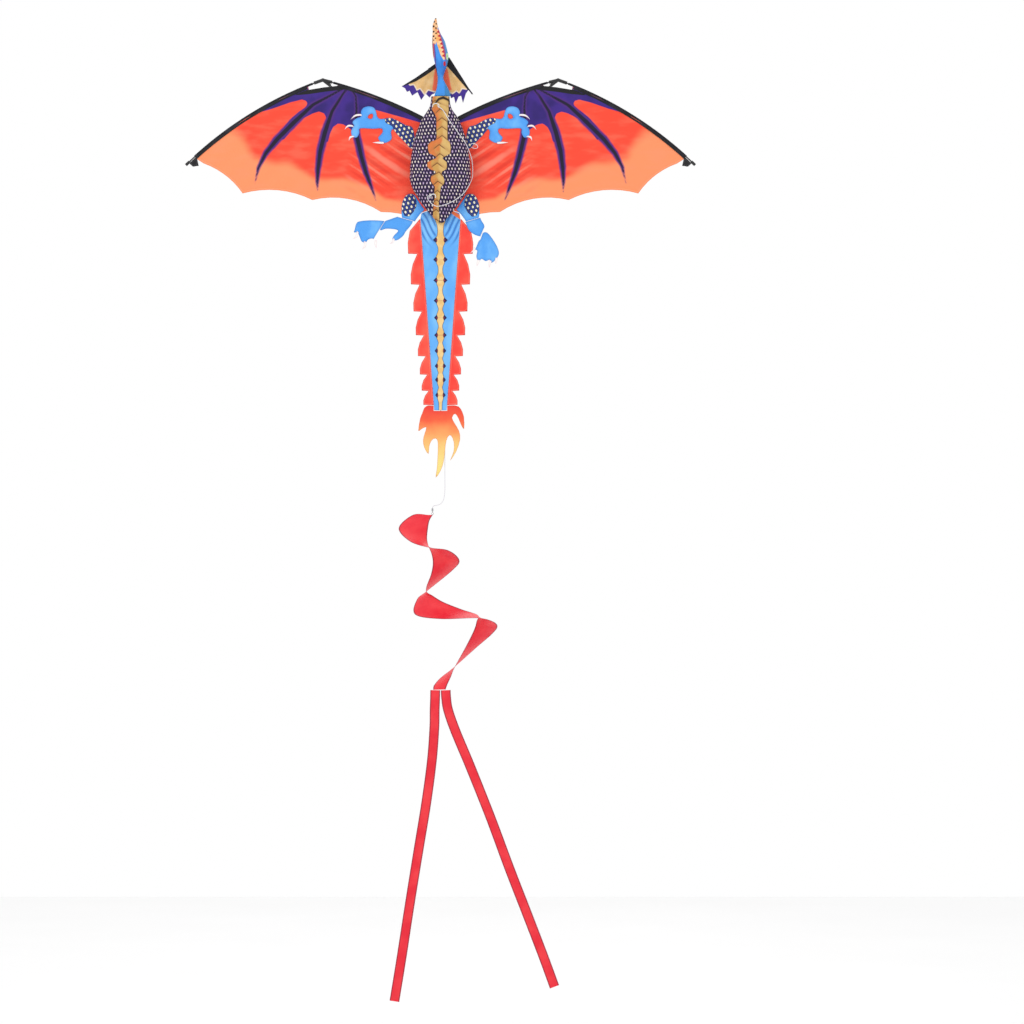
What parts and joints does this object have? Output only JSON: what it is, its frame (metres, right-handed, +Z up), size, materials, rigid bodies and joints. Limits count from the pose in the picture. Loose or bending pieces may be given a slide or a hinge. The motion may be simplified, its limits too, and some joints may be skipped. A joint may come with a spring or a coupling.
{
  "type": "dragon kite",
  "caption": "Single-line dragon kite: folding bat-wing sail on rods, air-filled belly, head with frill, limbs, toothed tail with flame tip, spinning spiral tail and ribbons.",
  "frame": {"origin": "centre of the chest cross on the spine, where the spreaders meet it and where the frame can be held", "axes": "+Z up the spine to the head, +Y out of the kite's back, the belly faces -Y, +X to the right as the belly is seen"},
  "size_m": [1.4084, 0.1501, 2.7082],
  "materials": {
    "fibreglass_rod": "satin",
    "moulded_vinyl": "satin",
    "black_cloth": "matte",
    "navy_cloth": "matte",
    "sail_cloth": "satin",
    "body_cloth": "matte",
    "blue_cloth": "satin",
    "gold_cloth": "satin",
    "red_cloth": "satin",
    "flame_cloth": "satin",
    "ribbon_cloth": "satin",
    "claw_cloth": "matte",
    "braided_line": "matte",
    "swivel_steel": "satin"
  },
  "bodies": {
    "airframe": {"spine_rod": "fibreglass_rod", "spine_end_caps": "moulded_vinyl", "neck_cross": "moulded_vinyl", "chest_cross": "moulded_vinyl", "crest_cross": "moulded_vinyl", "spine_sleeve": "navy_cloth", "back_panel": "navy_cloth", "body_pouch": "body_cloth", "head_shell": "blue_cloth", "tail_panel": "blue_cloth", "tail_fringe_left": "red_cloth", "tail_fringe_right": "red_cloth", "tail_rod_pocket": "blue_cloth", "thigh_left": "navy_cloth", "thigh_right": "navy_cloth", "bridle_tabs": "braided_line", "bridle_line": "braided_line", "tow_loop": "braided_line", "hinge_tubes_left": "moulded_vinyl", "hinge_tubes_right": "moulded_vinyl", "frill_tubes": "moulded_vinyl", "tail_cord": "braided_line", "swivel_barrel": "swivel_steel"},
    "left_wing": {"wing_sail_left": "sail_cloth", "inner_spar_left": "fibreglass_rod", "outer_spar_left": "fibreglass_rod", "edge_sleeves_left": "black_cloth", "wrist_joint_left": "moulded_vinyl", "tip_pocket_left": "black_cloth", "tip_cap_left": "moulded_vinyl", "spreader_left": "fibreglass_rod", "arm_left": "blue_cloth", "arm_claws_left": "claw_cloth"},
    "right_wing": {"wing_sail_right": "sail_cloth", "inner_spar_right": "fibreglass_rod", "outer_spar_right": "fibreglass_rod", "edge_sleeves_right": "black_cloth", "wrist_joint_right": "moulded_vinyl", "tip_pocket_right": "black_cloth", "tip_cap_right": "moulded_vinyl", "spreader_right": "fibreglass_rod", "arm_right": "blue_cloth", "arm_claws_right": "claw_cloth"},
    "left_frill": {"frill_left": "gold_cloth", "frill_spar_left": "fibreglass_rod"},
    "right_frill": {"frill_right": "gold_cloth", "frill_spar_right": "fibreglass_rod"},
    "left_leg": {"shank_left": "blue_cloth", "foot_left": "blue_cloth", "foot_claws_left": "claw_cloth"},
    "right_leg": {"shank_right": "blue_cloth", "foot_right": "blue_cloth", "foot_claws_right": "claw_cloth"},
    "flame": {"tail_flame": "flame_cloth"},
    "spinning_tail": {"swivel_eye": "swivel_steel", "spinner": "ribbon_cloth"},
    "left_ribbon": {"ribbon_left": "ribbon_cloth"},
    "right_ribbon": {"ribbon_right": "ribbon_cloth"}
  },
  "joints": [
    {"name": "right_wing_fold", "type": "hinge", "parent": "airframe", "child": "right_wing", "pos_m": [0.014, 0, 0.05], "axis": [0, 0, 1], "range_deg": [0, 80], "stiffness_Nm_per_rad": 0.25, "deforming": ["hinge_tubes_right"]},
    {"name": "left_wing_fold", "type": "hinge", "parent": "airframe", "child": "left_wing", "pos_m": [-0.014, 0, 0.05], "axis": [0, 0, -1], "range_deg": [0, 80], "stiffness_Nm_per_rad": 0.25, "deforming": ["hinge_tubes_left"]},
    {"name": "right_frill_fold", "type": "hinge", "parent": "airframe", "child": "right_frill", "pos_m": [0.014, 0, 0.28], "axis": [0, 0, 1], "range_deg": [0, 75], "stiffness_Nm_per_rad": 0.02, "deforming": ["frill_tubes"]},
    {"name": "left_frill_fold", "type": "hinge", "parent": "airframe", "child": "left_frill", "pos_m": [-0.014, 0, 0.28], "axis": [0, 0, -1], "range_deg": [0, 75], "stiffness_Nm_per_rad": 0.02, "deforming": ["frill_tubes"]},
    {"name": "right_knee", "type": "hinge", "parent": "airframe", "child": "right_leg", "pos_m": [0.086, -0.0071, -0.15], "axis": [-0.9613, 0, -0.2756], "range_deg": [0, 70]},
    {"name": "left_knee", "type": "hinge", "parent": "airframe", "child": "left_leg", "pos_m": [-0.086, -0.0071, -0.15], "axis": [-0.9613, 0, 0.2756], "range_deg": [0, 70]},
    {"name": "flame_flap", "type": "hinge", "parent": "airframe", "child": "flame", "pos_m": [0, -0.0053, -0.6748], "axis": [-1, 0, 0], "range_deg": [0, 70]},
    {"name": "tail_spin", "type": "hinge", "parent": "airframe", "child": "spinning_tail", "pos_m": [-0.022, 0, -0.944], "axis": [0, 0, 1], "continuous": true},
    {"name": "left_ribbon_swing", "type": "hinge", "parent": "spinning_tail", "child": "left_ribbon", "pos_m": [-0.016, 0, -1.444], "axis": [1, 0, 0], "range_deg": [-50, 50]},
    {"name": "right_ribbon_swing", "type": "hinge", "parent": "spinning_tail", "child": "right_ribbon", "pos_m": [0.016, 0, -1.444], "axis": [1, 0, 0], "range_deg": [-50, 50]}
  ]
}
